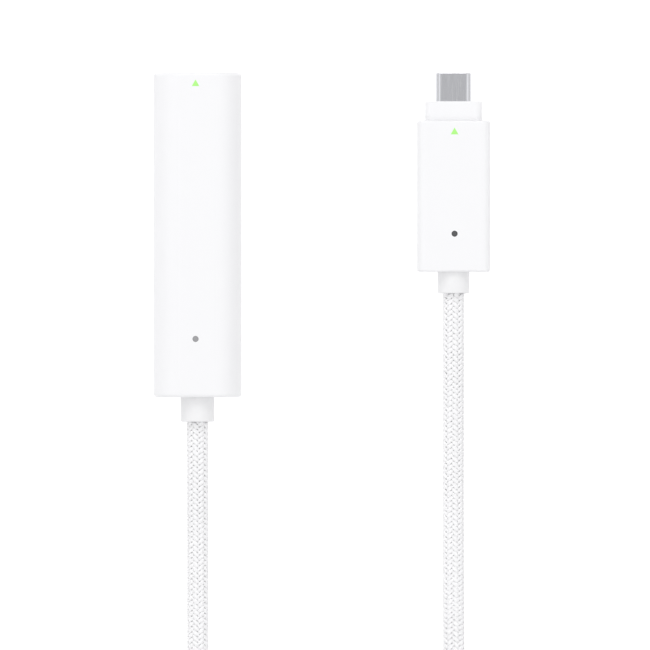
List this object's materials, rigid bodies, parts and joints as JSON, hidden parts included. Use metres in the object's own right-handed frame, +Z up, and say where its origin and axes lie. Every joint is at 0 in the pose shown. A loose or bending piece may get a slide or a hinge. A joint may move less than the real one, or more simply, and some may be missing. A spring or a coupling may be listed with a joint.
{
  "type": "bluetooth audio receiver",
  "caption": "Slim flat-oval wireless audio receiver with a headphone socket in one end and a braided white lead from the other, ending in a USB-C plug with its own rounded housing.",
  "frame": {"origin": "under the middle of the receiver housing, on the surface it lies on", "axes": "+Z up from the surface; +Y along the receiver, from the lead to the headphone socket; +X towards the USB-C plug"},
  "size_m": [0.0794, 0.2106, 0.0154],
  "materials": {
    "housing_white": "fine matte texture",
    "marker_green": "matte ink-filled inlay",
    "light_window": "frosted light pipe, unlit",
    "boot_white": "soft matte elastomer",
    "cord_braid": "braided polyester yarn",
    "plug_steel": "satin",
    "socket_trim": "satin",
    "connector_plastic": "moulded",
    "contact_gold": "gold plated",
    "spring_steel": "satin",
    "board_green": "solder mask",
    "chip_black": "moulded epoxy",
    "shield_tin": "tinned",
    "ceramic_part": "bare ceramic",
    "resistor_black": "glazed top",
    "lamp_white": "moulded",
    "wire_red": "insulation",
    "wire_black": "insulation",
    "wire_white": "insulation",
    "cable_cover": "inner jacket",
    "crimp_metal": "tinned"
  },
  "bodies": {
    "root": {"receiver_upper_shell": "housing_white", "receiver_lower_shell": "housing_white", "receiver_marker": "marker_green", "receiver_light_pipe": "light_window", "receiver_status_lamp": "lamp_white", "audio_jack_bezel": "socket_trim", "audio_jack_housing": "connector_plastic", "audio_jack_contacts": "contact_gold", "receiver_circuit_board": "board_green", "radio_shield_can": "shield_tin", "bluetooth_chip": "chip_black", "crystal": "shield_tin", "audio_converter_chip": "chip_black", "flash_memory_chip": "chip_black", "power_inductor": "resistor_black", "ceramic_antenna": "ceramic_part", "receiver_capacitors": "ceramic_part", "receiver_resistors": "resistor_black", "receiver_boot": "boot_white", "receiver_crimp_ring": "crimp_metal", "receiver_cable_end": "cable_cover", "receiver_power_wire": "wire_red", "receiver_ground_wire": "wire_black", "receiver_data_wires": "wire_white", "plug_upper_shell": "housing_white", "plug_lower_shell": "housing_white", "plug_nose": "housing_white", "plug_marker": "marker_green", "plug_light_pipe": "light_window", "plug_status_lamp": "lamp_white", "usb_shell": "plug_steel", "usb_contacts": "contact_gold", "usb_rear_block": "connector_plastic", "usb_upper_contact_block": "connector_plastic", "usb_lower_contact_block": "connector_plastic", "usb_latch_springs": "spring_steel", "plug_circuit_board": "board_green", "usb_controller_chip": "chip_black", "plug_capacitors": "ceramic_part", "plug_resistors": "resistor_black", "plug_boot": "boot_white", "plug_crimp_ring": "crimp_metal", "plug_cable_end": "cable_cover", "plug_power_wire": "wire_red", "plug_ground_wire": "wire_black", "plug_data_wires": "wire_white", "cord_lead_receiver": "cord_braid", "cord_lead_plug": "cord_braid", "cord_coil": "cord_braid"}
  },
  "joints": []
}
